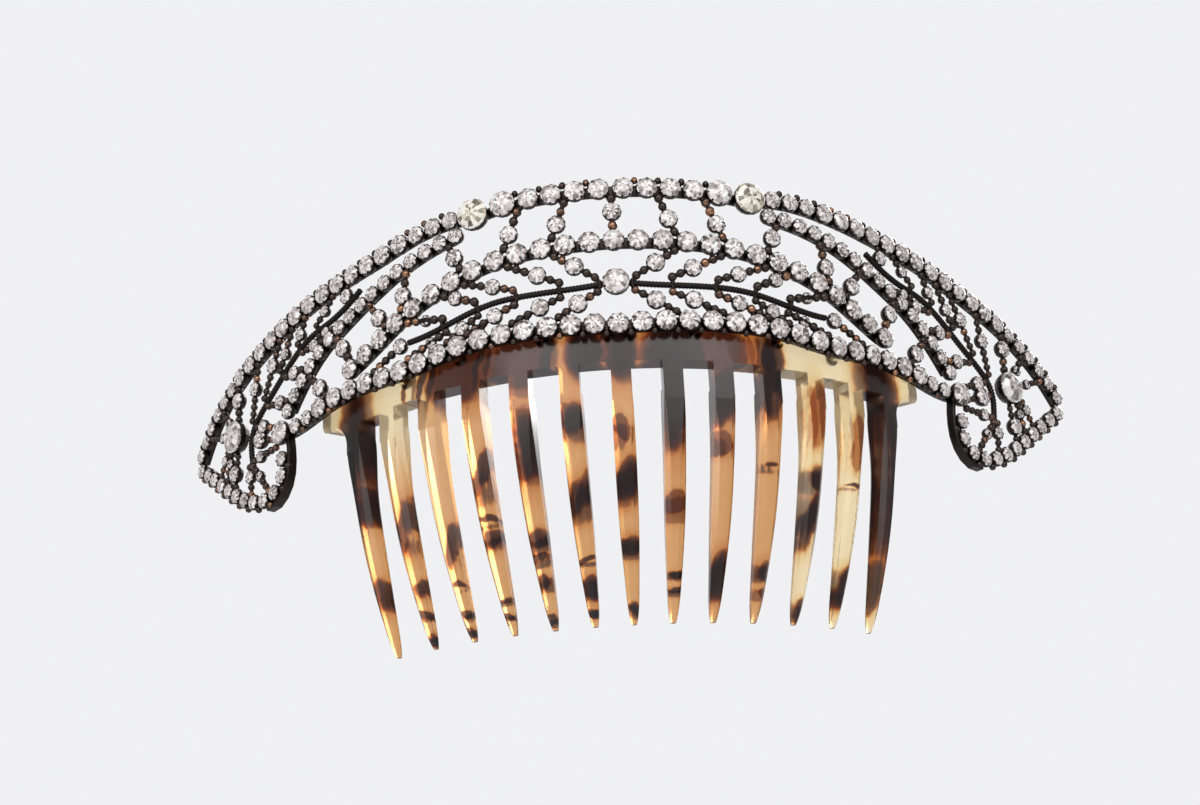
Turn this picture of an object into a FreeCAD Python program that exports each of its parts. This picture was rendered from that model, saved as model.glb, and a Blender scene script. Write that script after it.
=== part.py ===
"""Tiara comb: a stone-set openwork metal band riveted to a curved celluloid comb with 13 teeth.

Millimetres, +Z up towards the crown of the band, the wearer behind at +Y, the show side at -Y.
The band is designed flat, on a sheet where "along" runs sideways from the centre line, "height"
runs up from the tops of the comb's slots and "out" runs from the back of the band to its face.
band_frame() then bends that sheet into plan: an arc that hugs the comb, then two nearly straight
wings.  Nothing moves: the collets, beads and wires are soldered and the comb is riveted on.
"""
import FreeCAD, Part
import math
import os
import Sketcher

Vector = FreeCAD.Vector
doc = FreeCAD.newDocument("tiara_comb")

# ---------------------------------------------------------------- driving dimensions
SIZES = [
    ("comb_radius", 66.4, "outer radius of the comb's heading"),
    ("comb_thick", 4.1, "celluloid thickness"),
    ("tooth_count", 13, "teeth"),
    ("tooth_pitch", 9.0, "spacing of the teeth along the heading"),
    ("tooth_width", 3.5, "tooth width at the root"),
    ("tooth_reach", 43.8, "middle slot top to tooth tips"),
    ("tooth_sweep", 10.9, "how far the middle tips lean in towards the head"),
    ("tooth_splay", 3.0, "how much less the end tips lean in"),
    ("tooth_gather", 0.13, "share of its angle by which a middle tooth leans to the centre"),
    ("gather_fade", 0.10, "how much of that share is gone at the end teeth"),
    ("tip_width", 0.9, "width of the blunt tip"),
    ("tip_thick", 0.85, "thickness of the blunt tip"),
    ("root_block", 7.0, "depth below the slot tops that belongs to the heading plate"),
    ("heading_top", 7.0, "top edge of the heading above the slot tops"),
    ("slot_arch", 1.7, "drop of the slot tops at the arch_span"),
    ("arch_span", 50.0, "distance from the centre where slot_arch is measured"),
    ("ear_length", 9.6, "heading beyond the last tooth's middle"),
    ("ear_drop", 0.9, "underside of the ears below the slot tops"),
    ("ear_fillet", 4.2, "flare between an ear and the last tooth"),
    ("band_arc", 50.0, "half length of the band that hugs the comb"),
    ("curl_start", 62.0, "distance along where the left wing starts to curl"),
    ("curl_radius", 154.0, "radius of the left wing's curl"),
    ("left_sag", 2.3, "how much lower the crown of the left wing sits"),
    ("left_dip", 1.3, "further drop at the tip of the left wing"),
    ("half_length", 102.0, "centre to the tip stone, along the band"),
    ("crown_height", 31.7, "height of the crown rail at the centre"),
    ("stone_plane", 2.0, "height over the band's back where distances along it are measured"),
    ("strip_thick", 0.8, "thickness of the rails' backing strips"),
    ("strip_half", 1.0, "half width of the rails' backing strips"),
    ("mount_drop", 1.3, "how far the riveted strip reaches below its row's line"),
    ("collet_wall", 0.2, "wall of a collet"),
    ("collet_floor", 0.3, "floor of a collet"),
    ("collet_gap", 0.1, "least gap between neighbouring collets"),
    ("seat_clear", 0.02, "clearance of a stone in its collet"),
    ("rail_stone", 3.5, "stones of the crown, arch and bottom rows"),
    ("large_stone", 4.4, "crown stones next to the collar stones"),
    ("collar_stone", 5.4, "collar stones, where a wing branches off"),
    ("neck_stone", 3.0, "crown stones beyond the collar stones"),
    ("wing_stone", 3.4, "crown stones on the wings"),
    ("outer_stone", 3.2, "crown stones of the outer wings"),
    ("tip_stone", 2.65, "crown and lobe stones near the tips"),
    ("inner_stone", 2.7, "stones of the wings' inner row"),
    ("knee_stone", 4.2, "stones where the lower rows meet"),
    ("post_stone", 3.0, "stones of the ladder posts"),
    ("centre_stone", 4.4, "stone in the middle"),
    ("lobe_stone", 5.8, "large stones of the lobes"),
    ("grain", 1.35, "edge beads between the collets"),
    ("shot", 1.65, "usual bead of the centre sprays and posts"),
    ("fine_shot", 1.45, "usual bead of the wings and lobes"),
    ("wire", 1.1, "diameter of the stems"),
    ("rivet", 1.2, "rivet shank"),
    ("rivet_head", 2.4, "rivet head"),
    ("rivet_clear", 0.03, "radial clearance of a rivet in its bores"),
]
sheet = doc.addObject("Spreadsheet::Sheet", "Sizes")
for row, (alias, value, meaning) in enumerate(SIZES, start=1):
    sheet.set("A%d" % row, meaning)
    sheet.set("B%d" % row, str(value))
    sheet.setAlias("B%d" % row, alias)
doc.recompute()


def size(alias):
    """A driving dimension, read back from the sheet."""
    return float(sheet.get(alias))


FULL_LENGTH = 102.0     # the flat pattern below is drawn for these two sizes
FULL_HEIGHT = 31.7
ALONG = size("half_length") / FULL_LENGTH
UP = size("crown_height") / FULL_HEIGHT

BACK = size("comb_radius")                      # the band's back lies on the heading
CURL_TURN = size("curl_start") - size("band_arc")

# ---------------------------------------------------------------- the flat pattern, right half
# (along, height) guide points; the left half is its mirror image.
CROWN_INNER = [(0, 31.7), (10, 31.5), (18, 31.0), (24.9, 30.2)]
CROWN_OUTER = [(24.9, 30.2), (32.5, 30.75), (43, 29.6), (62.6, 26.4), (80.3, 21.0), (92.5, 15.3),
               (102, 7.1)]
BOTTOM = [(0, 6.2), (24, 6.35), (32, 5.6), (38, 4.6), (52, 4.4), (60, 3.6), (66, 2.2), (72.8, 1.7)]
ARCH = [(0, 21.8), (8, 21.6), (16, 21.1), (24.5, 19.9), (32.3, 18.0), (40, 15.2), (47, 11.6),
        (53.4, 8.6)]
INNER = [(28.7, 27.5), (34.1, 26.7), (43.9, 23.9), (53.7, 19.6), (62.6, 14.4), (67.4, 9.9),
         (70.9, 5.7)]
RIM = [(101.7, 3.85), (97.6, 1.0), (92.1, -3.0), (86.5, -6.8), (80.5, -9.4), (75.8, -9.4),
       (73.2, -7.0), (72.9, -3.4)]
STEM = [(2.6, 13.85), (9.7, 13.3), (17.5, 13.1), (24.7, 12.4), (32.2, 10.6), (39.6, 9.7)]
VEIN = [(50.7, 24.7), (55.0, 22.2), (60.1, 20.3), (63.3, 19.6), (69.5, 16.4), (75.9, 11.4), (80.9, 7.4),
        (82.7, 5.0), (83.1, 2.0), (82.8, -0.4)]
LOBE_WALL = [(71.3, 0.4), (70.9, -4.2), (71.7, -8.1), (74.2, -10.9), (77.6, -11.6)]
LOBE_CENTRE = (87.2, 5.8)
BUD = (54.3, 24.4)


# ---------------------------------------------------------------- plan: sheet to solid space
def band_frame(side, along):
    """Plan position and heading of the stone plane at a distance along it (side +1 or -1)."""
    plane_radius = BACK + size("stone_plane")
    runs = [(size("band_arc"), plane_radius)]
    if side < 0:
        runs += [(CURL_TURN, None), (1e4, size("curl_radius"))]
    else:
        runs += [(1e4, None)]
    x, y, turn = 0.0, -plane_radius, 0.0
    left = along
    for length, radius in runs:
        step = min(left, length)
        if radius is None:
            x += step * math.cos(turn)
            y += step * math.sin(turn)
        else:
            after = turn + step / radius
            x += radius * (math.sin(after) - math.sin(turn))
            y += radius * (math.cos(turn) - math.cos(after))
            turn = after
        left -= step
        if left <= 0:
            break
    return side * x, y, side * turn


def ramp(value, low, high):
    return min(max((value - low) / (high - low), 0.0), 1.0)


def place(side, along, height, out=0.0):
    """The point of solid space for a point of the flat sheet."""
    if side < 0:
        crown = ramp(height, 0, 28) * ramp(along, 21, 46)
        height -= size("left_sag") * crown + size("left_dip") * ramp(along, 60, 100)
    x, y, turn = band_frame(side, along)
    step = out - size("stone_plane")
    return Vector(x + step * math.sin(turn), y - step * math.cos(turn), height)


def outward(side, along):
    turn = band_frame(side, along)[2]
    return Vector(math.sin(turn), -math.cos(turn), 0)


# ---------------------------------------------------------------- curves on the sheet
class Guide:
    """A smooth curve through guide points of the sheet, measured by its length."""

    def __init__(self, points):
        self.points = [Vector(a * ALONG, h * UP, 0) for a, h in points]
        spline = Part.BSplineCurve()
        spline.interpolate(self.points)
        self.edge = spline.toShape()
        self.length = self.edge.Length

    def at(self, distance):
        """Point and left-hand normal at a distance, carried straight on past either end."""
        inside = min(max(distance, 0.0), self.length)
        parameter = self.edge.getParameterByLength(inside)
        point = self.edge.valueAt(parameter)
        along = self.edge.tangentAt(parameter)
        point = point + along * (distance - inside)
        return point, Vector(-along.y, along.x, 0)

    def near(self, along):
        """Distance of the point whose sideways place is nearest a value."""
        steps = 400
        places = [self.length * i / steps for i in range(steps + 1)]
        return min(places, key=lambda d: abs(self.at(d)[0].x - along * ALONG))


JOINT = 2 * size("collet_wall") + size("collet_gap")     # least gap between two stones of a row


def collet_radius(stone):
    return stone / 2 + size("collet_wall")


def fill(length, first, last, grades):
    """Collets side by side between two end stones: (distance, stone) of those between.

    grades are (share of the length, stone diameter); what is left over opens all gaps evenly.
    """
    row, at, stone = [], 0.0, first
    while True:
        following = next(d for share, d in grades if at <= share * length)
        step = (stone + following) / 2 + JOINT
        if at + step + (following + last) / 2 + JOINT > length:
            break
        at, stone = at + step, following
        row.append((at, stone))
    slack = length - at - (stone + last) / 2 - JOINT
    return [(d + slack * (i + 1) / (len(row) + 1), s) for i, (d, s) in enumerate(row)]


def nesting(collet, bead, half):
    """How far off the row's line a bead rests that touches both collets of a gap."""
    return math.sqrt(max((collet + bead) ** 2 - half ** 2, 0.0))


class Row:
    """A guide with its collets, in order, as (distance, stone diameter)."""

    def __init__(self, guide, first, last, grades, keep_first=False, keep_last=False):
        self.guide = Guide(guide)
        ends = fill(self.guide.length, first, last, grades)
        self.stones = ([(0.0, first)] if keep_first else []) + ends
        if keep_last:
            self.stones.append((self.guide.length, last))

    def centres(self):
        return [(self.guide.at(d)[0], s) for d, s in self.stones]

    def gaps(self):
        """Middle of each gap: (distance, half spacing, mean collet radius)."""
        pairs = zip(self.stones, self.stones[1:])
        return [((a + b) / 2, (b - a) / 2, (collet_radius(s) + collet_radius(q)) / 2)
                for (a, s), (b, q) in pairs]

    def nest(self, gap, face, radius):
        """Centre of a bead that rests between two collets, on the left (+1) or right face."""
        distance, half, collet = gap
        point, normal = self.guide.at(distance)
        return point + normal * (face * nesting(collet, radius, half))

    def gap_near(self, along):
        return min(self.gaps(), key=lambda g: abs(self.guide.at(g[0])[0].x - along * ALONG))


RAIL = size("rail_stone")
crown_inner = Row(CROWN_INNER, -JOINT, size("collar_stone"),
                  [(0.45, RAIL), (1.0, size("large_stone"))])
crown_outer = Row(CROWN_OUTER, size("collar_stone"), size("tip_stone"),
                  [(0.14, size("neck_stone")), (0.55, size("wing_stone")),
                   (0.74, size("outer_stone")), (1.0, size("tip_stone"))], keep_last=True)
bottom = Row(BOTTOM, RAIL, size("knee_stone"), [(0.77, RAIL), (1.0, size("tip_stone"))],
             keep_first=True)
arch = Row(ARCH, RAIL, RAIL, [(1.0, RAIL)], keep_first=True, keep_last=True)
inner = Row(INNER, size("inner_stone"), size("inner_stone"), [(1.0, size("inner_stone"))],
            keep_first=True, keep_last=True)
rim = Row(RIM, size("tip_stone"), size("tip_stone"), [(1.0, size("tip_stone"))],
          keep_first=True, keep_last=True)
stem = Guide(STEM)
vein = Guide(VEIN)
COLLAR = crown_outer.guide.at(0)[0]
KNEE = bottom.guide.at(bottom.guide.length)[0]
LOBE = Vector(LOBE_CENTRE[0] * ALONG, LOBE_CENTRE[1] * UP, 0)
HUB = Vector(0, 13.9 * UP, 0)


# ---------------------------------------------------------------- bead and stone chains
LEAST_SHOT = 0.3        # least radius of a bead
SETTLE = 24             # rounds in which a bead's size and its nested place settle together
EASE = 0.35             # share of the way to the new size that each round goes


def on_wire(guide, along, face):
    """A place for a bead against a wire, at a sideways place, on one of its faces."""
    distance = guide.near(along)

    def centre(radius):
        point, normal = guide.at(distance)
        return point + normal * (face * (size("wire") / 2 + radius))
    return centre


def on_row(row, along, face):
    """A place for a bead nested between two collets of a row."""
    gap = row.gap_near(along)
    return lambda radius: row.nest(gap, face, radius)


def on_collet(centre, stone, angle):
    """A place for a bead against a single collet, at an angle in degrees."""
    turn = math.radians(angle)
    way = Vector(math.cos(turn), math.sin(turn), 0)
    return lambda radius: centre + way * (collet_radius(stone) + radius)


def beads_between(anchor, centre, reach, shot="shot"):
    """Beads in line from an anchor to a circle of the given reach: [(centre, radius)].

    As many as come nearest to the usual size; their size then takes up what is left.
    """
    usual = size(shot)
    best = None
    for count in (1, 2, 3, 4):
        radius = usual / 2
        for _ in range(SETTLE):
            first = anchor(radius)
            room = (first.distanceToPoint(centre) - reach) / (2 * count - 1)
            radius = max(radius + EASE * (room - radius), LEAST_SHOT)
        if best is None or abs(2 * radius - usual) < abs(2 * best[1] - usual):
            best = (count, radius, first)
    count, radius, first = best
    way = (centre - first).normalize()
    return [(first + way * (2 * radius * i), radius) for i in range(count)]


def chain(start, end, stone, share=0.5, shot="shot"):
    """A soldered chain: beads, one stone in its collet, beads.  Returns beads and the stone.

    All beads of a chain are alike: of 2 to 7 the number is taken that brings them nearest to the
    usual size, share of them stand before the stone, and the stone goes where they end.
    """
    usual, collet = size(shot), collet_radius(stone)
    best = None
    for count in range(2, 8):
        radius = usual / 2
        for _ in range(SETTLE):
            first, last = start(radius), end(radius)
            room = (first.distanceToPoint(last) - 2 * collet) / (2 * count - 2)
            radius = max(radius + EASE * (room - radius), LEAST_SHOT)
        if best is None or abs(2 * radius - usual) < abs(2 * best[1] - usual):
            best = (count, radius, first, last)
    count, radius, first, last = best
    before = min(max(round(share * count), 1), count - 1)
    way = (last - first).normalize()
    middle = first + way * ((2 * before - 1) * radius + collet)
    beads = [(first + way * (2 * radius * i), radius) for i in range(before)]
    beads += [(last - way * (2 * radius * i), radius) for i in range(count - before)]
    return beads, [(middle, stone)]


def fine_chain(start, end, stone, share=0.5):
    return chain(start, end, stone, share, "fine_shot")


# (foot on the stem, end on the arch row, end on the bottom row, stone), centre outwards
SPRIGS = [(3.4, 10.2, 10.0, 3.0), (9.9, 18.4, 18.0, 2.9), (18.2, 26.6, 26.2, 2.6),
          (25.2, 33.0, 30.3, 2.4), (31.6, 38.4, 38.2, 1.8)]
# (foot on the vein, end on the crown row, stone, place of the stone)
TWIGS_UP = [(62.4, 59.8, 2.0, 0.5), (67.3, 64.4, 2.1, 0.45), (72.4, 68.3, 2.1, 0.42),
            (77.6, 75.4, 2.7, 0.5), (81.4, 82.0, 2.6, 0.52)]
# (foot on the vein, end on the wing's inner row, stone)
TWIGS_DOWN = [(62.2, 58.4, 1.8), (67.4, 61.6, 2.2), (72.2, 66.4, 2.5), (77.8, 69.6, 2.5)]
# (side distance at the crown, at the arch) of the ladder posts, then of the wing's two posts
POSTS = [(9.6, 9.9), (20.0, 18.6)]
WING_POSTS = [(29.8, 28.4), (39.4, 38.2), (48.6, 45.6), (57.4, 53.0)]


def ladder():
    """Posts between the upper and lower rows of each half, and the one in the middle."""
    beads, stones = [], []
    parts = [chain(on_row(crown_inner, top, -1), on_row(arch, foot, 1), size("post_stone"))
             for top, foot in POSTS]
    parts += [chain(on_row(inner, top, -1), on_row(arch, foot, 1), size("post_stone"))
              for top, foot in WING_POSTS[:3]]
    top, foot = WING_POSTS[3]
    last_arch = (arch.guide.at(arch.guide.length)[0], RAIL)
    parts.append(chain(on_row(inner, top, -1), on_collet(*last_arch, 75), size("post_stone")))
    parts.append(chain(on_row(inner, 64.4, -1), on_row(bottom, 60.6, 1), size("post_stone")))
    for some, stone in parts:
        beads += some
        stones += stone
    return beads, stones


def middle_post():
    """The post on the centre line: its beads and its one stone."""
    first = crown_inner.stones[0]
    level = crown_inner.guide.at(0)[0].y
    rise = collet_radius(first[1])

    def under_crown(radius):
        return Vector(0, level - nesting(rise, radius, first[0]), 0)
    beads, stones = chain(under_crown, on_collet(arch.guide.at(0)[0], RAIL, 90), size("post_stone"))
    return beads, stones[0]


def centre_spray():
    beads, stones = [], []
    for foot, high, low, stone in SPRIGS:
        for face, row, end in ((1, arch, high), (-1, bottom, low)):
            some, set_stone = chain(on_wire(stem, foot, face), on_row(row, end, -face), stone)
            beads += some
            stones += set_stone
    tail = stem.points[-1] + Vector(collet_radius(2.6) + 0.05, -0.3, 0)
    beads += beads_between(on_row(bottom, 46.2, 1), tail, collet_radius(2.6))
    return beads, stones + [(tail, 2.6)]


def wing_spray():
    beads, stones = [], []
    for foot, end, stone, share in TWIGS_UP:
        some, set_stone = fine_chain(on_wire(vein, foot, 1), on_row(crown_outer, end, -1), stone, share)
        beads += some
        stones += set_stone
    for foot, end, stone in TWIGS_DOWN:
        some, set_stone = fine_chain(on_wire(vein, foot, -1), on_row(inner, end, 1), stone)
        beads += some
        stones += set_stone
    bud = Vector(BUD[0] * ALONG, BUD[1] * UP, 0)
    beads += beads_between(on_row(crown_outer, 53.0, -1), bud, collet_radius(2.6), "fine_shot")
    return beads, stones + [(bud, 2.6)]


def lobe_fan():
    """Chains round the large stone of a lobe, to the rim, the crown row and the knee."""
    big, knee = size("lobe_stone"), size("knee_stone")
    knot = vein.points[-1]
    parts = [
        fine_chain(on_wire(vein, 81.6, -1), on_collet(KNEE, knee, 42), 2.6, 0.42),
        fine_chain(lambda r: Vector(82.4 * ALONG - r, 3.4 * UP, 0), on_collet(KNEE, knee, -6), 3.2, 0.45),
        fine_chain(lambda r: knot + Vector(-0.4 - r, -0.5, 0), on_collet(KNEE, knee, -48), 2.0, 0.3),
        fine_chain(lambda r: knot + Vector(-0.6, -0.7 - r, 0), on_row(rim, 77.6, -1), 1.8, 0.45),
        fine_chain(lambda r: knot + Vector(0.6, -0.6 - r, 0), on_row(rim, 84.6, -1), 2.2, 0.3),
        fine_chain(on_collet(LOBE, big, -82), on_row(rim, 89.2, -1), 3.0, 0.55),
        fine_chain(on_collet(LOBE, big, -42), on_row(rim, 92.6, -1), 1.8, 0.3),
        fine_chain(on_collet(LOBE, big, -8), on_row(rim, 96.0, -1), 1.8, 0.5),
        fine_chain(on_collet(LOBE, big, 20), on_row(crown_outer, 98.6, -1), 1.6, 0.5),
        fine_chain(on_collet(LOBE, big, 48), on_row(crown_outer, 94.0, -1), 1.8, 0.35),
        fine_chain(on_collet(LOBE, big, 92), on_row(crown_outer, 88.2, -1), 3.0, 0.5),
    ]
    beads, stones = [], []
    for some, stone in parts:
        beads += some
        stones += stone
    return beads, stones


# ---------------------------------------------------------------- solids
def aim(side, along):
    """Rotation that takes +Z to the band's outward normal."""
    return FreeCAD.Rotation(Vector(0, 0, 1), outward(side, along))


CULET, PAVILION, GIRDLE, CROWN, TABLE = 0.17, 0.3, 0.04, 0.2, 0.3    # cut of a stone over its size
FOOT, FLARE_END, LIP = 0.86, 0.7, 0.1       # collet: foot radius and flare as shares, rim height


def stone_levels(stone):
    """Heights over the strip of a stone's culet flat, girdle, crown edge and table."""
    girdle = size("collet_floor") + PAVILION * stone
    return size("collet_floor"), girdle, girdle + GIRDLE * stone, girdle + CROWN * stone


def collet_solid(stone):
    """A closed cup with a conical seat and a thin rim."""
    floor, girdle = stone_levels(stone)[:2]
    clear = size("seat_clear")
    radius, lip, flat = collet_radius(stone), stone / 2 + clear, CULET * stone + clear
    rim = girdle + LIP
    profile = [(0, 0), (radius * FOOT, 0), (radius, girdle * FLARE_END), (radius, rim),
               (lip, rim), (lip, girdle), (flat, floor - clear), (0, floor - clear), (0, 0)]
    wire = Part.makePolygon([Vector(r, 0, h) for r, h in profile])
    return Part.Face(wire).revolve(Vector(), Vector(0, 0, 1), 360)


def stone_solid(stone):
    """A round cut stone: flat culet, girdle, crown and table."""
    culet, girdle, crown, table = stone_levels(stone)
    radius = stone / 2
    profile = [(0, culet), (CULET * stone, culet), (radius, girdle), (radius, crown),
               (TABLE * stone, table), (0, table), (0, culet)]
    wire = Part.makePolygon([Vector(r, 0, h) for r, h in profile])
    return Part.Face(wire).revolve(Vector(), Vector(0, 0, 1), 360)


def set_all(maker, stones, sides, shared_centre=()):
    """Copies of a collet or stone at (sheet point, diameter) places on the given sides."""
    made = {}
    solids = []
    places = [(side, point, stone) for side in sides for point, stone in stones]
    places += [(1, point, stone) for point, stone in shared_centre]
    for side, point, stone in places:
        if stone not in made:
            made[stone] = maker(stone)
        copy = made[stone].copy()
        base = place(side, point.x, point.y, size("strip_thick"))
        copy.Placement = FreeCAD.Placement(base, aim(side, point.x))
        solids.append(copy)
    return Part.makeCompound(solids)


def bead_group(beads, sides, shared_centre=()):
    """Solid balls, each standing on the plane of the strips' faces."""
    places = [(side, point, radius) for side in sides for point, radius in beads]
    places += [(1, point, radius) for point, radius in shared_centre]
    return Part.makeCompound([Part.makeSphere(radius, place(side, point.x, point.y,
                                                            size("strip_thick") + radius))
                              for side, point, radius in places])


def section(side, point, normal, low, high, face):
    """Four corners across a strip: low and high along the normal, from the band's back to face."""
    corners = []
    for reach, out in ((low, 0.0), (high, 0.0), (high, face), (low, face)):
        spot = point + normal * reach
        corners.append(place(side, spot.x, spot.y, out))
    return corners


def skin(rings):
    """A solid of flat triangles through rings of corners, closed by a fan at each end."""
    count = len(rings[0])
    points = [corner for ring in rings for corner in ring]
    facets = []
    for level in range(len(rings) - 1):
        for k in range(count):
            a, b = level * count + k, level * count + (k + 1) % count
            facets += [(a, b, b + count), (a, b + count, a + count)]
    last = (len(rings) - 1) * count
    for k in range(1, count - 1):
        facets += [(0, k + 1, k), (last, last + k, last + k + 1)]
    shell = Part.Shape()
    shell.makeShapeFromMesh((points, facets), 1e-4)
    solid = Part.Solid(shell)
    if solid.Volume < 0:
        solid.reverse()
    return solid


def strip(runs, low, high, side=1, both=False, face=None):
    """A strip along (guide, start, end) runs; both=True runs it in from the left end too.

    low and high are its edges along the guide's left-hand normal.
    """
    face = size("strip_thick") if face is None else face
    stations = []
    for guide, start, end in runs:
        steps = max(4, int((end - start) / 2.2))
        first = 1 if stations else 0
        stations += [guide.at(start + (end - start) * i / steps) for i in range(first, steps + 1)]
    ends = [(side, point, normal) for point, normal in stations]
    if both:
        ends = [(-1, point, normal) for point, normal in reversed(stations[1:])] + ends
    return skin([section(s, p, n, low, high, face) for s, p, n in ends])


def wire_solid(guide, side):
    """A round wire along a guide, standing on the strips' plane, with ten sides."""
    radius = size("wire") / 2
    steps = max(4, int(guide.length / 1.8))
    rings = []
    for i in range(steps + 1):
        point, normal = guide.at(guide.length * i / steps)
        ring = []
        for k in range(10):
            turn = 2 * math.pi * k / 10
            spot = point + normal * (radius * math.cos(turn))
            out = size("strip_thick") + radius * (1 + math.sin(turn))
            ring.append(place(side, spot.x, spot.y, out))
        rings.append(ring)
    return skin(rings)


# ---------------------------------------------------------------- document objects
NODES = []


def node(label, shape):
    """A sub-part whose shape is worked out from the sheet."""
    piece = doc.addObject("Part::Feature", label)
    piece.Label = label
    piece.Shape = shape
    NODES.append(piece)
    return piece


# The celluloid comb: a curved heading plate, sawn between the teeth, each tooth then cut to shape.
LAST = (int(size("tooth_count")) - 1) // 2
comb = doc.addObject("PartDesign::Body", "comb_blank")


def plane(role):
    return next(f for f in comb.Origin.OriginFeatures if f.Role == role)


def bind(feature, **formulas):
    """Bind properties to expressions; a double underscore stands for a dot."""
    for name, formula in formulas.items():
        feature.setExpression(name.replace("__", "."), formula)


def new_sketch(name, role):
    sketch = comb.newObject("Sketcher::SketchObject", name)
    sketch.AttachmentSupport = [(plane(role), "")]
    sketch.MapMode = "FlatFace"
    return sketch


def name_sizes(sketch, **named):
    """Add constraints with names and bind them: name=(constraint, expression)."""
    for name, (constraint, formula) in named.items():
        sketch.renameConstraint(sketch.addConstraint(constraint), name)
        sketch.setExpression("Constraints." + name, formula)


def heading_sketch():
    """The heading in plan: a ring sector with its middle on -Y."""
    sketch = new_sketch("heading_plan", "XY_Plane")
    half = (LAST * size("tooth_pitch") + size("ear_length")) / BACK
    low, high = -math.pi / 2 - half, -math.pi / 2 + half
    radii = (BACK, BACK - size("comb_thick"))
    arcs = [sketch.addGeometry(Part.ArcOfCircle(Part.Circle(Vector(), Vector(0, 0, 1), r), low, high))
            for r in radii]
    for arc in arcs:
        sketch.addConstraint(Sketcher.Constraint("Coincident", arc, 3, -1, 1))
    ends = []
    for turn, point in ((low, 1), (high, 2)):
        way = Vector(math.cos(turn), math.sin(turn), 0)
        end = sketch.addGeometry(Part.LineSegment(way * radii[0], way * radii[1]))
        sketch.addConstraint(Sketcher.Constraint("Coincident", end, 1, arcs[0], point))
        sketch.addConstraint(Sketcher.Constraint("Coincident", end, 2, arcs[1], point))
        sketch.addConstraint(Sketcher.Constraint("PointOnObject", -1, 1, end))
        ends.append(end)
    sketch.addConstraint(Sketcher.Constraint("Symmetric", arcs[0], 1, arcs[0], 2, -2))
    chord = 2 * BACK * math.sin(half)
    reach = "((Sizes.tooth_count - 1) * Sizes.tooth_pitch / 2 + Sizes.ear_length)"
    name_sizes(
        sketch,
        outer=(Sketcher.Constraint("Radius", arcs[0], radii[0]), "Sizes.comb_radius * 1 mm"),
        inner=(Sketcher.Constraint("Radius", arcs[1], radii[1]),
               "(Sizes.comb_radius - Sizes.comb_thick) * 1 mm"),
        chord=(Sketcher.Constraint("DistanceX", arcs[0], 1, arcs[0], 2, chord),
               "2 mm * Sizes.comb_radius * sin(%s / Sizes.comb_radius * 1 rad)" % reach))
    bind(sketch, AttachmentOffset__Base__z="-Sizes.root_block * 1 mm")
    return sketch


def saw_cut(name, middle, width, top, side=0):
    """A saw cut through the heading: an upright box, turned to its place along the heading.

    side 0 centres the box on its place, +1 or -1 starts it there and runs it outwards.
    """
    cut = comb.newObject("PartDesign::SubtractiveBox", name)
    cut.AttachmentSupport = [(plane("XY_Plane"), "")]
    cut.MapMode = "FlatFace"
    turn = "(%s / Sizes.comb_radius * 1 rad)" % middle
    left = {0: "(-(%s) / 2)" % width, 1: "0", -1: "(-(%s))" % width}[side]
    front = "(-(Sizes.comb_radius + Sizes.comb_thick))"
    bind(cut,
         Length="(%s) * 1 mm" % width,
         Width="3 * Sizes.comb_thick * 1 mm",
         Height="(%s + 2 * Sizes.root_block) * 1 mm" % top,
         AttachmentOffset__Base__x="(%s * cos(%s) - %s * sin(%s)) * 1 mm" % (left, turn, front, turn),
         AttachmentOffset__Base__y="(%s * sin(%s) + %s * cos(%s)) * 1 mm" % (left, turn, front, turn),
         AttachmentOffset__Base__z="-2 * Sizes.root_block * 1 mm")
    cut.AttachmentOffset = FreeCAD.Placement(Vector(), FreeCAD.Rotation(Vector(0, 0, 1), 0))
    cut.setExpression("AttachmentOffset.Rotation.Angle", turn)
    return cut


# An ear's sloping top behind the bottom row: (share of the comb's radius, of the heading's top)
EAR_SLOPE = [(0.98, 1.0), (0.4, 1.0), (0.56, 0.78), (0.68, 0.75), (0.98, -0.12)]


def ear_sketch():
    """Front view of what is sawn off the top of each ear, sloping down behind the bottom row."""
    sketch = new_sketch("ear_slopes", "XZ_Plane")
    count = len(EAR_SLOPE)
    for side, tag in ((1, "right"), (-1, "left")):
        corners = [Vector(side * a * BACK, h * size("heading_top"), 0) for a, h in EAR_SLOPE]
        lines = [sketch.addGeometry(Part.LineSegment(corners[i], corners[(i + 1) % count]))
                 for i in range(count)]
        spans = {}
        for i, (a, h) in enumerate(EAR_SLOPE):
            sketch.addConstraint(Sketcher.Constraint("Coincident", lines[i - 1], 2, lines[i], 1))
            ends = (-1, 1, lines[i], 1) if side > 0 else (lines[i], 1, -1, 1)
            spans["%s_along_%d" % (tag, i)] = (Sketcher.Constraint("DistanceX", *ends, a * BACK),
                                               "%g * Sizes.comb_radius * 1 mm" % a)
            ends = (-1, 1, lines[i], 1) if h > 0 else (lines[i], 1, -1, 1)
            spans["%s_height_%d" % (tag, i)] = (
                Sketcher.Constraint("DistanceY", *ends, abs(h) * size("heading_top")),
                "%g * Sizes.heading_top * 1 mm" % abs(h))
        name_sizes(sketch, **spans)
    return sketch


# (share of the reach, width, thickness and bevel as shares of the root's)
TOOTH_LEVELS = [(0.1, 0.97, 0.97, 0.02), (0.17, 1.03, 1.03, 0.06), (0.3, 1.07, 0.97, 0.2),
                (0.5, 1.03, 0.92, 0.25), (0.68, 0.92, 0.8, 0.23), (0.86, 0.68, 0.58, 0.17)]
TIP_LEVELS = [(0.955, 1.9), (1.0, 1.0)]     # (share of the reach, scale of the tip's section)
TIP_BEVEL = 0.28                            # bevel of the tip, as a share of its thickness
STRAIGHT = TOOTH_LEVELS[0][0]               # share of the reach before a tooth leans in
LEAN_POWER = 1.6                            # how late the lean comes


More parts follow.
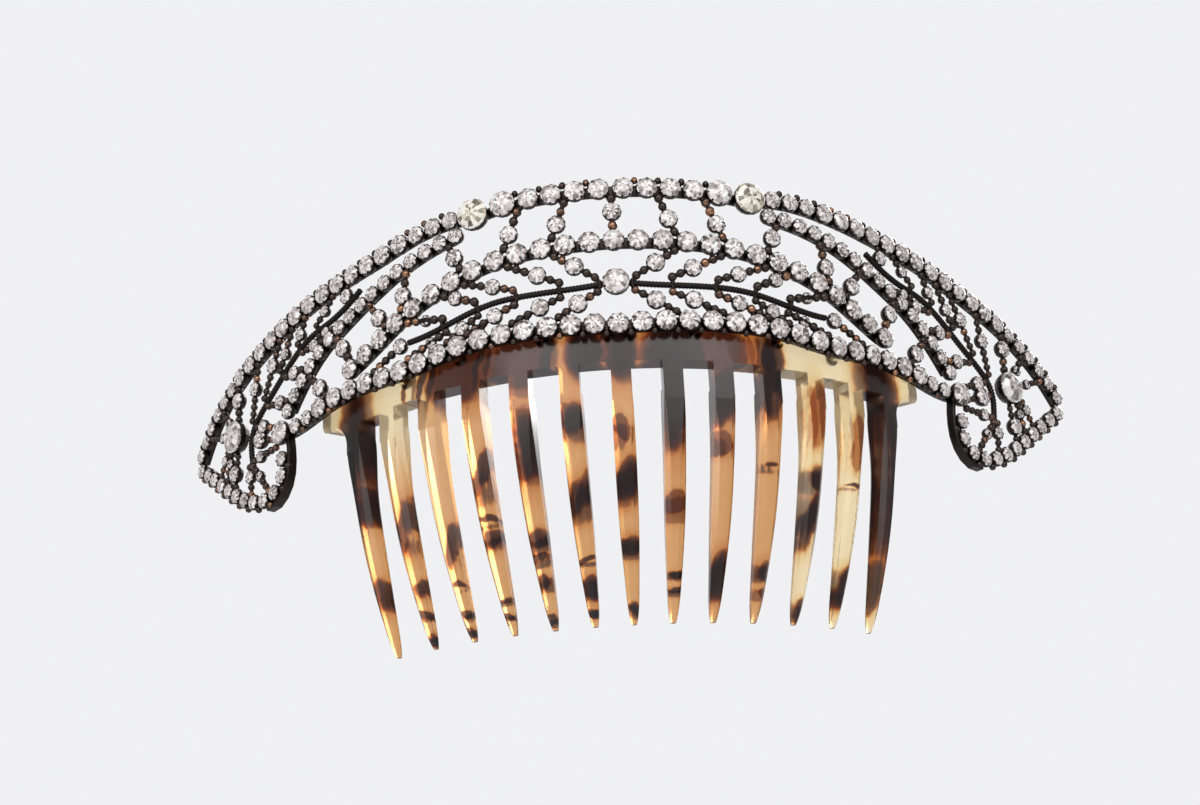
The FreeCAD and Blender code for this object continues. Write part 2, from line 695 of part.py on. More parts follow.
def tooth_sketch(index, level, share, width, thick, bevel):
    """One bevelled section of a tooth, level with the ground, turned and set in to its place."""
    sketch = new_sketch("tooth_%d_%d" % (index + LAST + 1, level), "XY_Plane")
    half_w, half_t = size("tooth_width") / 2, size("comb_thick") / 2
    cut = 0.15 * half_w
    ring = [(half_w - cut, -half_t), (half_w, cut - half_t), (half_w, half_t - cut), (half_w - cut, half_t)]
    ring += [(-x, y) for x, y in reversed(ring)]
    points = [Vector(x, y, 0) for x, y in ring]
    lines = [sketch.addGeometry(Part.LineSegment(points[i], points[(i + 1) % 8])) for i in range(8)]
    add = sketch.addConstraint
    for i in range(8):
        add(Sketcher.Constraint("Coincident", lines[i], 2, lines[(i + 1) % 8], 1))
    right, back, left, front = lines[1], lines[3], lines[5], lines[7]
    add(Sketcher.Constraint("Symmetric", front, 1, front, 2, -2))
    add(Sketcher.Constraint("Symmetric", right, 1, right, 2, -1))
    for near, far, axis in ((front, back, -1), (right, left, -2)):
        add(Sketcher.Constraint("Symmetric", near, 1, far, 2, axis))
        add(Sketcher.Constraint("Symmetric", near, 2, far, 1, axis))
    name_sizes(
        sketch,
        half_width=(Sketcher.Constraint("DistanceX", -1, 1, right, 1, half_w), "%s / 2" % width),
        half_thick=(Sketcher.Constraint("DistanceY", front, 1, -1, 1, half_t), "%s / 2" % thick),
        flat_width=(Sketcher.Constraint("DistanceX", front, 1, front, 2, 2 * (half_w - cut)),
                    "%s - 2 * %s" % (width, bevel)),
        flat_thick=(Sketcher.Constraint("DistanceY", right, 1, right, 2, 2 * (half_t - cut)),
                    "%s - 2 * %s" % (thick, bevel)))
    end = abs(index) / LAST
    run = "(%g)" % ((share - STRAIGHT) / (1 - STRAIGHT)) ** LEAN_POWER
    turn = ("(%d * Sizes.tooth_pitch / Sizes.comb_radius * 1 rad * (1 - %s * (Sizes.tooth_gather"
            " - Sizes.gather_fade * %g)))" % (index, run, end))
    inset = ("(Sizes.comb_radius - Sizes.comb_thick / 2 - %s * (Sizes.tooth_sweep - Sizes.comb_thick"
             " / 2 + Sizes.tip_thick / 2 - Sizes.tooth_splay * %g))" % (run, end ** 2))
    bind(sketch,
         AttachmentOffset__Base__x="%s * sin(%s) * 1 mm" % (inset, turn),
         AttachmentOffset__Base__y="-%s * cos(%s) * 1 mm" % (inset, turn),
         AttachmentOffset__Base__z="-%g * Sizes.tooth_reach * 1 mm" % share)
    sketch.AttachmentOffset = FreeCAD.Placement(Vector(), FreeCAD.Rotation(Vector(0, 0, 1), 0))
    sketch.setExpression("AttachmentOffset.Rotation.Angle", turn)
    return sketch


def tooth(index):
    sections = []
    for level, (share, width, thick, bevel) in enumerate(TOOTH_LEVELS):
        sections.append(tooth_sketch(index, level, share,
                                     "(%g * Sizes.tooth_width * 1 mm)" % width,
                                     "(%g * Sizes.comb_thick * 1 mm)" % thick,
                                     "(%g * Sizes.tooth_width * 1 mm)" % bevel))
    for level, (share, scale) in enumerate(TIP_LEVELS, start=len(TOOTH_LEVELS)):
        sections.append(tooth_sketch(index, level, share,
                                     "(%g * Sizes.tip_width * 1 mm)" % scale,
                                     "(%g * Sizes.tip_thick * 1 mm)" % scale,
                                     "(%g * Sizes.tip_thick * 1 mm)" % (TIP_BEVEL * scale)))
    loft = comb.newObject("PartDesign::AdditiveLoft", "tooth_%d" % (index + LAST + 1))
    loft.Profile = sections[0]
    loft.Sections = sections[1:]
    for sketch in sections:
        sketch.Visibility = False
    return loft


pad = comb.newObject("PartDesign::Pad", "heading")
pad.Profile = heading_sketch()
bind(pad, Length="(Sizes.heading_top + Sizes.root_block) * 1 mm")
slopes = comb.newObject("PartDesign::Pocket", "ears_sloped")
slopes.Profile = ear_sketch()
slopes.Type = 1
slopes.Midplane = True
PITCH = "Sizes.tooth_pitch"
for slot in range(-LAST, LAST):
    place_along = "(%g * %s)" % (slot + 0.5, PITCH)
    arch_top = "(-Sizes.slot_arch * (%s / Sizes.arch_span) ^ 2)" % place_along
    saw_cut("slot_%d" % (slot + LAST + 1), place_along, "%s - Sizes.tooth_width" % PITCH, arch_top)
for side in (1, -1):
    edge = "(%d * (%d * %s + Sizes.tooth_width / 2))" % (side, LAST, PITCH)
    saw_cut("ear_%s" % ("right" if side > 0 else "left"), edge, "2 * Sizes.ear_length",
            "(-Sizes.ear_drop)", side)
doc.recompute()


def radial_edges(shape, height, along):
    """Names of the straight edges that run through the plate at a height and place along it."""
    names = []
    for i, edge in enumerate(shape.Edges, start=1):
        middle = edge.CenterOfMass
        turn = math.atan2(middle.x, -middle.y) * BACK
        level = abs(edge.Vertexes[0].Z - edge.Vertexes[-1].Z) < 1e-6
        if level and abs(middle.z - height) < 0.05 and abs(abs(turn) - along) < 0.6:
            names.append("Edge%d" % i)
    return names


def fillet(name, height, along, radius):
    base = comb.Tip
    feature = comb.newObject("PartDesign::Fillet", name)
    feature.Base = (base, radial_edges(base.Shape, height, along))
    bind(feature, Radius=radius + " * 1 mm")
    return feature


ear_end = LAST * size("tooth_pitch") + size("ear_length")
fillet("ear_flares", -size("ear_drop"), LAST * size("tooth_pitch") + size("tooth_width") / 2,
       "Sizes.ear_fillet")
doc.recompute()
fillet("ear_corners", -size("ear_drop"), ear_end, "0.45 * Sizes.ear_fillet")
for index in range(-LAST, LAST + 1):
    tooth(index)
doc.recompute()

# Rivets: shanks through the heading into the bottom strip, with domed heads inside the comb.
RIVET_PLACES = (4, 16, 29, 42)      # wanted distances from the centre; each moves to the next gap
RIVET_DROP = 0.5                    # a rivet's distance below the bottom row's line


def rivet_places():
    """Placement of every rivet: origin on the band's back, +Z outwards."""
    places = []
    for along in RIVET_PLACES:
        point, normal = bottom.guide.at(bottom.gap_near(along)[0])
        spot = point - normal * RIVET_DROP
        for side in (1, -1):
            places.append(FreeCAD.Placement(place(side, spot.x, spot.y), aim(side, spot.x)))
    return places


def rivet_solid():
    """A shank with a domed head on the inside of the comb."""
    shank, head = size("rivet") / 2, size("rivet_head") / 2
    under = -size("comb_thick") - size("rivet_clear")
    profile = [(0, under - 0.7 * head), (0.5 * head, under - 0.6 * head), (0.87 * head, under - 0.34 * head),
               (head, under), (shank, under), (shank, size("strip_thick")), (0, size("strip_thick"))]
    wire = Part.makePolygon([Vector(r, 0, h) for r, h in profile + profile[:1]])
    return Part.Face(wire).revolve(Vector(), Vector(0, 0, 1), 360)


def bore_cylinders():
    """The rivets' bores through comb and strip, as one cutting tool."""
    bores = []
    for number, spot in enumerate(rivet_places(), start=1):
        bore = doc.addObject("Part::Cylinder", "bore_%d" % number)
        bind(bore, Radius="(Sizes.rivet / 2 + Sizes.rivet_clear) * 1 mm",
             Height="3 * (Sizes.comb_thick + Sizes.strip_thick) * 1 mm")
        half = 1.5 * (size("comb_thick") + size("strip_thick"))
        bore.Placement = spot.multiply(FreeCAD.Placement(Vector(0, 0, -half), FreeCAD.Rotation()))
        bores.append(bore)
    tool = doc.addObject("Part::Compound", "rivet_bores")
    tool.Links = bores
    return tool


def placed(solid, places):
    copies = []
    for spot in places:
        copy = solid.copy()
        copy.Placement = spot
        copies.append(copy)
    return Part.makeCompound(copies)


bores = bore_cylinders()
comb_body = doc.addObject("Part::Cut", "comb_body")
comb_body.Base = comb
comb_body.Tool = bores
doc.recompute()
NODES.append(comb_body)
node("rivet_pins", placed(rivet_solid(), rivet_places()))

# Strips and stems
HALF = size("strip_half")
overhang = size("tip_stone") / 2
top_runs = [(crown_inner.guide, 0.0, crown_inner.guide.length),
            (crown_outer.guide, 0.0, crown_outer.guide.length + overhang)]
knee_reach = bottom.guide.length + 0.4 * size("knee_stone")
node("top_rail", strip(top_runs, -HALF, HALF, both=True))
mount = strip([(bottom.guide, 0.0, knee_reach)], -size("mount_drop"), HALF, both=True)
node("bottom_rail", mount.cut(bores.Shape))
node("arch_rail", strip([(arch.guide, 0.0, arch.guide.length)], -HALF, HALF, both=True))
FENCE = 0.35            # half thickness of the lobe walls
wall = Guide(LOBE_WALL)
SIDES = ((1, "right"), (-1, "left"))
for side, name in SIDES:
    node("wing_rail_" + name, strip([(inner.guide, 0.4, inner.guide.length)], -HALF, HALF, side=side))
    node("lobe_rim_" + name, strip([(rim.guide, 0.0, rim.guide.length)], -HALF, HALF, side=side))
    node("lobe_wall_" + name, strip([(wall, 0.0, wall.length)], -FENCE, FENCE, side=side,
                                    face=1.8 * HALF))
    node("centre_stem_" + name, wire_solid(stem, side))
    node("wing_stem_" + name, wire_solid(vein, side))

# Collets, stones and beads of every row and spray
ladder_beads, ladder_stones = ladder()
spray_beads, spray_stones = centre_spray()
wing_beads, wing_stones = wing_spray()
fan_beads, fan_stones = lobe_fan()
hub = [(HUB, size("centre_stone"))]
collar = [(COLLAR, size("collar_stone"))]
large = [(LOBE, size("lobe_stone"))]
knee = [(KNEE, size("knee_stone"))]
crown = crown_inner.centres() + crown_outer.centres()
BOTH = (1, -1)

for label, stones, middle in (
        ("crown", crown, []),
        ("bottom", bottom.centres()[1:] + knee, bottom.centres()[:1]),
        ("arch", arch.centres()[1:], arch.centres()[:1]),
        ("post", ladder_stones, [middle_post()[1]]),
        ("centre_spray", spray_stones, []),
        ("hub", [], hub),
        ("collar", collar, []),
        ("lobe", large, [])):
    node(label + "_collets", set_all(collet_solid, stones, BOTH, middle))
    node(label + "_stones", set_all(stone_solid, stones, BOTH, middle))
for side, name in SIDES:
    for label, stones in (("wing_rail", inner.centres()), ("lobe_rim", rim.centres()),
                          ("wing_spray", wing_stones), ("lobe_fan", fan_stones)):
        node("%s_collets_%s" % (label, name), set_all(collet_solid, stones, (side,)))
        node("%s_stones_%s" % (label, name), set_all(stone_solid, stones, (side,)))
    node("wing_spray_beads_" + name, bead_group(wing_beads, (side,)))
    node("lobe_fan_beads_" + name, bead_group(fan_beads, (side,)))
node("ladder_beads", bead_group(ladder_beads, BOTH, middle_post()[0]))
node("centre_spray_beads", bead_group(spray_beads, BOTH))


def edge_grains(row, face):
    """Beads nested between the collets on one face of a row."""
    radius = size("grain") / 2
    return [(row.nest(gap, face, radius), radius) for gap in row.gaps()]


node("crown_grains", bead_group(edge_grains(crown_inner, 1) + edge_grains(crown_outer, 1), BOTH))
node("bottom_grains", bead_group(edge_grains(bottom, -1), BOTH))
node("lobe_rim_grains", bead_group(edge_grains(rim, 1), BOTH))

# ---------------------------------------------------------------- origin, checks and files
doc.recompute()
whole = FreeCAD.BoundBox()
for piece in NODES:
    whole.add(piece.Shape.optimalBoundingBox())
to_base = Vector(-whole.Center.x, -whole.Center.y, -whole.ZMin)      # middle of the base
for piece in NODES:
    piece.Placement = FreeCAD.Placement(to_base, FreeCAD.Rotation())
doc.recompute()

for thing in doc.Objects:
    if "Invalid" in thing.State or "Error" in thing.State:
        raise RuntimeError("%s failed to recompute" % thing.Name)
for piece in NODES:
    if piece.Shape.isNull() or not piece.Shape.isValid():
        raise RuntimeError("%s has no valid shape" % piece.Label)

os.makedirs("parts", exist_ok=True)
for piece in NODES:
    piece.Shape.exportStep("parts/%s.step" % piece.Label)
print(len(NODES), "nodes", "%.1f x %.1f x %.1f mm" % (whole.XLength, whole.YLength, whole.ZLength))
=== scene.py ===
"""Looks of the tiara comb: paste stones in coronet collets, blackened beads and wires, and a
mottled celluloid comb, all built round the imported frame.

The frame's own solids say where every collet, stone and bead stands and which way it faces;
solids() reads that, and the shapes below are worked out afresh on those places as numpy arrays.
Lengths in this file are millimetres and become metres when a mesh is made; the stage's are metres.
"""

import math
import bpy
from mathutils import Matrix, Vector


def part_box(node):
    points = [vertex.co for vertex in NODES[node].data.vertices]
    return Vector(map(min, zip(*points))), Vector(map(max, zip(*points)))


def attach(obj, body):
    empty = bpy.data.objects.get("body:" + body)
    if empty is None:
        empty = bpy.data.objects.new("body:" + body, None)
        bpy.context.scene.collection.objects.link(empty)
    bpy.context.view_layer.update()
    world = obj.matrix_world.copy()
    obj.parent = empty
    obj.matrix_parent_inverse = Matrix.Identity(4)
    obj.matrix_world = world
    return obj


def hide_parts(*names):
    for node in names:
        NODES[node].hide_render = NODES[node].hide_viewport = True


bl_info = {
    "name": "Tiara comb looks",
    "version": (1, 0, 0),
    "blender": (4, 5, 0),
    "location": "View3D > Sidebar > Tiara",
    "description": "Builds the stones, collets, beads, wires and celluloid of a tiara comb",
    "category": "Object",
}

import bmesh
import bpy
import numpy as np
from bpy.props import FloatProperty, IntProperty, PointerProperty
from mathutils import Euler, Vector

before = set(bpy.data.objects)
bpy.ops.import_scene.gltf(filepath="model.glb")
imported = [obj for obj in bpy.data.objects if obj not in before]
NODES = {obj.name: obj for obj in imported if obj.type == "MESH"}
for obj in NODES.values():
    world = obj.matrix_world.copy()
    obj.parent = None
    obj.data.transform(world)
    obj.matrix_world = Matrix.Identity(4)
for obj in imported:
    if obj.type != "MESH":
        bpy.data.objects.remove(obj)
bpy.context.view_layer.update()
MM = 0.001
BODY = "root"

HEADING_RADIUS = 66.4       # outer curve of the comb's heading
HEADING_TOP = 7.0           # its top edge over the slots
COMB_EDGE = 0.3             # how far the comb's edges are rounded
STRIP_EDGE = 0.18           # the same on the rails, rims and walls
RIVET_EDGE = 0.02           # and on the rivets' heads

WIRE_RADIUS = 0.6
WRAP_PITCH = 0.62           # drawn coarser than the real 0.3 mm winding so that it shows
WRAP_CORE = 0.76            # the core's share of a wound wire's radius

GIRDLE = 1.05               # a stone's girdle as a share of its solid's radius
SOLDER_GAP = 0.35           # beads, collets and wires nearer than this are joined by solder
SOLDER_REACH = 0.5          # how far off a collet's own depth solder still takes
NECK_WAIST = 0.5            # a solder neck's waist as a share of the bead's radius
NECK_FLARE = 0.3            # what its two ends add to that

COLLETS = [n for n in sorted(NODES) if "_collets" in n]
STONES = [n for n in sorted(NODES) if "_stones" in n]
BEADS = [n for n in sorted(NODES) if "_beads" in n or "_grains" in n]
WIRES = [n for n in sorted(NODES) if "_stem_" in n]
STRIPS = [n for n in sorted(NODES) if n not in COLLETS + STONES + BEADS
          and ("_rail" in n or "_rim_" in n or "_wall_" in n)]


# ---------------------------------------------------------------- small helpers
def linear(colour):
    """Linear RGBA of an sRGB hex colour such as '1f1d1c'."""
    parts = [int(colour[i:i + 2], 16) / 255 for i in (0, 2, 4)]
    return [c / 12.92 if c <= 0.04045 else ((c + 0.055) / 1.055) ** 2.4 for c in parts] + [1.0]


def add(tree, kind, inputs=(), **settings):
    """Add a shader node; inputs pair a socket with a value or with another node's output."""
    made = tree.nodes.new("ShaderNode" + kind)
    for name, value in settings.items():
        setattr(made, name, value)
    for socket, value in dict(inputs).items():
        if isinstance(value, bpy.types.NodeSocket):
            tree.links.new(value, made.inputs[socket])
        else:
            made.inputs[socket].default_value = value
    return made


def colours(ramp, stops):
    """Set a colour ramp's stops: (place 0 to 1, hex colour)."""
    band = ramp.color_ramp
    while len(band.elements) < len(stops):
        band.elements.new(1.0)
    for element, (place, colour) in zip(band.elements, stops):
        element.position = place
        element.color = linear(colour)
    return ramp


def material(name, **surface):
    """A new material, its tree and its shader, with the shader's plain sockets set."""
    made = bpy.data.materials.new(name)
    made.use_nodes = True
    tree = made.node_tree
    shader = tree.nodes["Principled BSDF"]
    for socket, value in surface.items():
        shader.inputs[socket.replace("_", " ")].default_value = value
    return made, tree, shader


def grain(size):
    """The noise scale that gives a pattern of this size in mm."""
    return 1 / (size * MM)


def piece(name, points, faces, finish, replaced, smooth=True):
    """Put a shape into the scene: points in mm, faces as arrays of corner numbers of any width."""
    mesh = bpy.data.meshes.new(name)
    rows = [row for block in faces for row in np.asarray(block).tolist()]
    mesh.from_pydata((points * MM).tolist(), [], rows)
    if smooth:
        mesh.shade_smooth()
    else:
        mesh.shade_flat()
    mesh.materials.append(finish)
    made = bpy.data.objects.new(name, mesh)
    bpy.context.scene.collection.objects.link(made)
    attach(made, BODY)
    if replaced:
        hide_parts(*replaced)
    return made


def unit(rows):
    """Every row at length 1."""
    return rows / np.linalg.norm(rows, axis=1)[:, None]


def circle(around):
    """Even angles round a full turn."""
    return np.arange(around) * 2 * math.pi / around


def spokes(angle, side, up):
    """Directions  cos(angle) * side + sin(angle) * up,  one set of angles for each row of side."""
    return np.cos(angle)[..., None] * side[:, None] + np.sin(angle)[..., None] * up[:, None]


def corners_of(name):
    """A CAD node's mesh and its corners in mm."""
    mesh = NODES[name].data
    places = np.empty(len(mesh.vertices) * 3)
    mesh.vertices.foreach_get("co", places)
    return mesh, np.round(places.reshape(-1, 3) / MM, 3)


def solids(name):
    """Every separate solid of a CAD node, as arrays over the solids, in mm.

    Corners at the same place are joined.  Each face hands the lowest number among its corners
    round until nothing changes, so a number stands for one solid.  Its centre is the mean of its
    surface and its axis is the principal direction whose spread differs most from the other two,
    turned to face the front.  half is its reach across the axis, low and high its ends along it.
    """
    mesh, places = corners_of(name)
    mesh.calc_loop_triangles()
    tri = np.empty(len(mesh.loop_triangles) * 3, dtype=int)
    mesh.loop_triangles.foreach_get("vertices", tri)
    joined, same = np.unique(places, axis=0, return_inverse=True)
    tri = same.reshape(-1)[tri].reshape(-1, 3)
    label = np.arange(len(joined))
    while True:
        lower = label.copy()
        np.minimum.at(lower, tri, label[tri].min(axis=1)[:, None])
        if (lower == label).all():
            break
        label = lower
    keys, own = np.unique(label, return_inverse=True)
    solid = own[tri[:, 0]]
    corner = joined[tri]
    middle = corner.mean(axis=1)
    edges = corner[:, 1:] - corner[:, :1]
    area = np.linalg.norm(np.cross(edges[:, 0], edges[:, 1]), axis=1)
    total = np.bincount(solid, area)
    centre = np.stack([np.bincount(solid, area * middle[:, k]) for k in range(3)], axis=1)
    centre /= total[:, None]
    off = middle - centre[solid]
    spread = np.zeros((len(keys), 3, 3))
    np.add.at(spread, solid, area[:, None, None] * off[:, :, None] * off[:, None, :])
    value, way = np.linalg.eigh(spread)
    odd = np.abs(value - np.median(value, axis=1, keepdims=True)).argmax(axis=1)
    axis = way[np.arange(len(keys)), :, odd]
    axis *= np.where(axis[:, 1] > 0, -1.0, 1.0)[:, None]
    reach = joined - centre[own]
    along = (reach * axis[own]).sum(axis=1)
    across = np.linalg.norm(reach - along[:, None] * axis[own], axis=1)
    low, high, half = np.zeros((3, len(keys)))
    np.minimum.at(low, own, along)
    np.maximum.at(high, own, along)
    np.maximum.at(half, own, across)
    return {"centre": centre, "axis": axis, "low": low, "high": high, "half": half}


def level_sides(axis):
    """Two directions across each axis: one level with the ground, one that squares it."""
    side = unit(np.cross([0.0, 0.0, 1.0], axis))
    return side, np.cross(axis, side)


def stand(spots, angle, reach, level, tilt=None):
    """Corners of like shapes, one for each solid, each turned about its own axis.

    A corner is  centre + reach * spoke(angle) + level * axis.  angle, reach and level are (solid,
    corner) arrays.  tilt leans each axis by (sideways, upwards) radians first.
    """
    axis = spots["axis"]
    side, up = level_sides(axis)
    if tilt is not None:
        axis = unit(axis + tilt[:, :1] * side + tilt[:, 1:] * up)
        side, up = level_sides(axis)
    return (spots["centre"][:, None] + reach[..., None] * spokes(angle, side, up)
            + level[..., None] * axis[:, None]).reshape(-1, 3)


def repeat(faces, count, corners):
    """The faces of one shape, repeated for all its copies."""
    shift = np.arange(count)[:, None, None] * corners
    return [(np.asarray(block)[None] + shift).reshape(-1, np.asarray(block).shape[1])
            for block in faces]


def ring_faces(rings, around):
    """Quads between closed rings of corners laid one after another."""
    start = np.arange(rings - 1)[:, None] * around
    k = np.arange(around)[None]
    here, after = start + k, start + (k + 1) % around
    return np.stack([here, after, after + around, here + around], axis=-1).reshape(-1, 4)


def tube_faces(rings, around):
    """Quads between the rings and a cap on the first and the last."""
    rim = np.arange(around)[None]
    return [ring_faces(rings, around), rim[:, ::-1], rim + (rings - 1) * around]


def facing_out(obj):
    """Recalculate a closed mesh's normals so that they point outwards."""
    work = bmesh.new()
    work.from_mesh(obj.data)
    bmesh.ops.recalc_face_normals(work, faces=work.faces)
    work.to_mesh(obj.data)
    work.free()


def slot_top():
    """The point on the axis of the heading's curve that is level with the middle slot's top."""
    low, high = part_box("comb_body")
    return Vector(((low.x + high.x) / 2, low.y + HEADING_RADIUS * MM, high.z - HEADING_TOP * MM))


# ---------------------------------------------------------------- finishes
def blackened_metal(name, base, coppery_tone, roughness, wear):
    """Copper alloy, chemically blackened and waxed by hand; the black rubs off on high spots.

    To the eye it is a warm near-black with soft highlights and rubbed, coppery patches.  Patches
    are 2.4 mm across and the cast skin's grit is 0.25 mm.  More wear spreads the patches.
    """
    made, tree, shader = material(name, Metallic=1.0, Roughness=roughness)
    place = add(tree, "TexCoord").outputs["Object"]
    cloud = add(tree, "TexNoise", {"Vector": place, "Scale": grain(2.4), "Detail": 3.0})
    share = add(tree, "Math", {0: cloud.outputs["Fac"], 1: wear}, operation="ADD")
    ramp = colours(add(tree, "ValToRGB", {"Fac": share.outputs[0]}), [(0.72, base), (0.95, coppery_tone)])
    tree.links.new(ramp.outputs["Color"], shader.inputs["Base Color"])
    grit = add(tree, "TexNoise", {"Vector": place, "Scale": grain(0.25), "Detail": 2.0})
    bump = add(tree, "Bump", {"Height": grit.outputs["Fac"], "Strength": 0.25,
                              "Distance": 0.05 * MM})
    tree.links.new(bump.outputs["Normal"], shader.inputs["Normal"])
    return made


def bead_metal_with_painted_glints():
    """The same blackened alloy cast as shot and rubbed by wear.

    To the eye it is a soft dark shine with copper patches, partly rubbed copper and partly painted
    highlights that stand for copper glints of light.  A per-bead attribute holds each bead's own
    share of that copper and painted highlight; patches are 0.8 mm across.
    """
    made, tree, shader = material("blackened_shot", Metallic=1.0, Roughness=0.3)
    own = add(tree, "Attribute", attribute_name="coppery_tone").outputs["Fac"]
    place = add(tree, "TexCoord").outputs["Object"]
    cloud = add(tree, "TexNoise", {"Vector": place, "Scale": grain(0.8), "Detail": 2.0})
    share = add(tree, "Math", {0: own, 1: cloud.outputs["Fac"]}, operation="ADD")
    # the two lightest stops are painted coppery highlights on the beads as well as rubbed copper
    ramp = colours(add(tree, "ValToRGB", {"Fac": share.outputs[0]}),
                   [(0.0, "403936"), (0.64, "4c433e"), (0.84, "7a5e4e"), (1.0, "b08468")])
    tree.links.new(ramp.outputs["Color"], shader.inputs["Base Color"])
    return made


def paste_with_painted_flashes(name, stops):
    """Lead-glass paste, cut and polished by hand over foil and set in closed collets.

    Each stone's base colour is a patchwork of painted reflections: bright, beige and dark flashes,
    facet by facet, standing for the light that cut and foil throw back.  The attribute 'cut' holds
    a corner's place across its stone and the stone's own number; rings and sectors of that disc are
    the foil's facets, each with a painted brightness of its own.
    """
    rings_across, ring_turn, wedges_round = 3.2, 0.37, 16
    made, tree, shader = material(name, Roughness=0.04, IOR=1.7)
    cut = add(tree, "Attribute", attribute_name="cut").outputs["Vector"]
    x, y, number = add(tree, "SeparateXYZ", {0: cut}).outputs
    square = add(tree, "Math", {0: x, 1: x}, operation="MULTIPLY").outputs[0]
    radius2 = add(tree, "Math", {0: y, 1: y, 2: square}, operation="MULTIPLY_ADD").outputs[0]
    radius = add(tree, "Math", {0: radius2, 1: 0.5}, operation="POWER").outputs[0]
    angle = add(tree, "Math", {0: y, 1: x}, operation="ARCTAN2").outputs[0]
    rings = add(tree, "Math", {0: radius, 1: rings_across}, operation="MULTIPLY").outputs[0]
    ring = add(tree, "Math", {0: rings}, operation="FLOOR").outputs[0]
    turned = add(tree, "Math", {0: ring, 1: ring_turn, 2: angle},
                 operation="MULTIPLY_ADD").outputs[0]
    wedges = add(tree, "Math", {0: turned, 1: wedges_round / (2 * math.pi)},
                 operation="MULTIPLY").outputs[0]
    wedge = add(tree, "Math", {0: wedges}, operation="FLOOR").outputs[0]
    cell = add(tree, "CombineXYZ", {0: wedge, 1: ring, 2: number}).outputs[0]
    # each cell gets a random painted brightness: the painted reflections of the cut stone
    painted_flash = add(tree, "TexWhiteNoise", {"Vector": cell}, noise_dimensions="3D").outputs["Value"]
    ramp = colours(add(tree, "ValToRGB", {"Fac": painted_flash}), stops)
    tree.links.new(ramp.outputs["Color"], shader.inputs["Base Color"])
    return made


# ---------------------------------------------------------------- shapes that pieces share
def softened(node, name, finish, radius):
    """A copy of a CAD node with bevelled edges, standing for it.

    Corners within 2 micrometres are merged and triangles within half a degree of flat are joined
    first, so that only true edges are left.  Those sharper than 40 degrees get the bevel, and the
    normals then follow the larger faces, so that flats stay flat to the edge.
    """
    work = bmesh.new()
    work.from_mesh(NODES[node].data)
    bmesh.ops.remove_doubles(work, verts=work.verts, dist=0.002 * MM)
    bmesh.ops.dissolve_limit(work, angle_limit=math.radians(0.5), verts=work.verts,
                             edges=work.edges)
    mesh = bpy.data.meshes.new(name)
    work.to_mesh(mesh)
    work.free()
    mesh.materials.clear()
    mesh.materials.append(finish)
    mesh.shade_smooth()
    mesh.set_sharp_from_angle(angle=math.radians(35))
    made = bpy.data.objects.new(name, mesh)
    bpy.context.scene.collection.objects.link(made)
    edge = made.modifiers.new("edge", "BEVEL")
    edge.width = radius * MM
    edge.segments = 2
    edge.limit_method = "ANGLE"
    edge.angle_limit = math.radians(40)
    even = made.modifiers.new("even", "WEIGHTED_NORMAL")
    even.weight = 90
    even.keep_sharp = True
    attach(made, BODY)
    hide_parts(node)
    return made


def centreline(node, reach=0.45):
    """The line down the middle of a round wire's CAD node, from its higher end, in mm.

    Corners nearer than reach belong to one ring round the wire; the lowest number spreads through
    each ring, and a ring's mean is a point of the line.  The wires run downhill all the way.
    """
    places = np.unique(corners_of(node)[1], axis=0)
    close = np.linalg.norm(places[:, None] - places[None], axis=-1) < reach
    label = np.arange(len(places))
    while True:
        lower = np.where(close, label[None], len(places)).min(axis=1)
        if (lower == label).all():
            break
        label = lower
    keys, own = np.unique(label, return_inverse=True)
    count = np.bincount(own)[:, None]
    line = np.stack([np.bincount(own, places[:, k]) for k in range(3)], axis=1) / count
    return line[np.argsort(-line[:, 2])]


def wrapped(line):
    """A core wound with fine wire, as a grid over distance and angle.

    The radius is  r * (core + (1 - core) * |sin(pi * (distance / pitch - angle / 2 pi))|),  so one
    ridge climbs the wire in a screw; the first and last rings close in to the line.  The line is
    evened out by a running mean first.
    """
    around, steps_a_turn, mean_of = 10, 4, 13
    step = np.linalg.norm(np.diff(line, axis=0), axis=1)
    distance = np.concatenate([[0.0], np.cumsum(step)])
    fine = np.arange(0.0, distance[-1], WRAP_PITCH / steps_a_turn)
    points = np.stack([np.interp(fine, distance, line[:, k]) for k in range(3)], axis=1)
    window = np.ones(mean_of) / mean_of
    padded = np.pad(points, ((mean_of // 2,) * 2, (0, 0)), mode="reflect", reflect_type="odd")
    points = np.stack([np.convolve(padded[:, k], window, mode="valid") for k in range(3)], axis=1)
    along = unit(np.gradient(points, axis=0))
    front = np.array([0.0, -1.0, 0.0])
    first = unit(front - (along @ front)[:, None] * along)
    angle = circle(around)
    turns = fine[:, None] / WRAP_PITCH - angle[None] / (2 * math.pi)
    reach = WIRE_RADIUS * (WRAP_CORE + (1 - WRAP_CORE) * np.abs(np.sin(math.pi * turns)))
    reach[[0, -1]] *= 0.3
    way = spokes(angle, first, np.cross(along, first))
    corners = (points[:, None] + reach[..., None] * way).reshape(-1, 3)
    return corners, tube_faces(len(fine), around)


def nearest_on(line, points):
    """For each point the number of the line's nearest point and how far off it is."""
    gap = np.linalg.norm(points[:, None] - line[None], axis=-1)
    nearest = gap.argmin(axis=1)
    return nearest, gap[np.arange(len(points)), nearest]


# ---------------------------------------------------------------- sizes that a user would change
class TiaraStoneSizes(bpy.types.PropertyGroup):
    table: FloatProperty(name="Table", description="Table width as a share of the stone",
                         default=0.56, min=0.3, max=0.9, subtype="FACTOR")
    tilt: FloatProperty(name="Tilt", description="How far a stone may sit out of true",
                        default=math.radians(3.5), max=0.2, subtype="ANGLE")
    claw_count: IntProperty(name="Claws", description="Claws round a collet",
                            default=8, min=4, max=12)


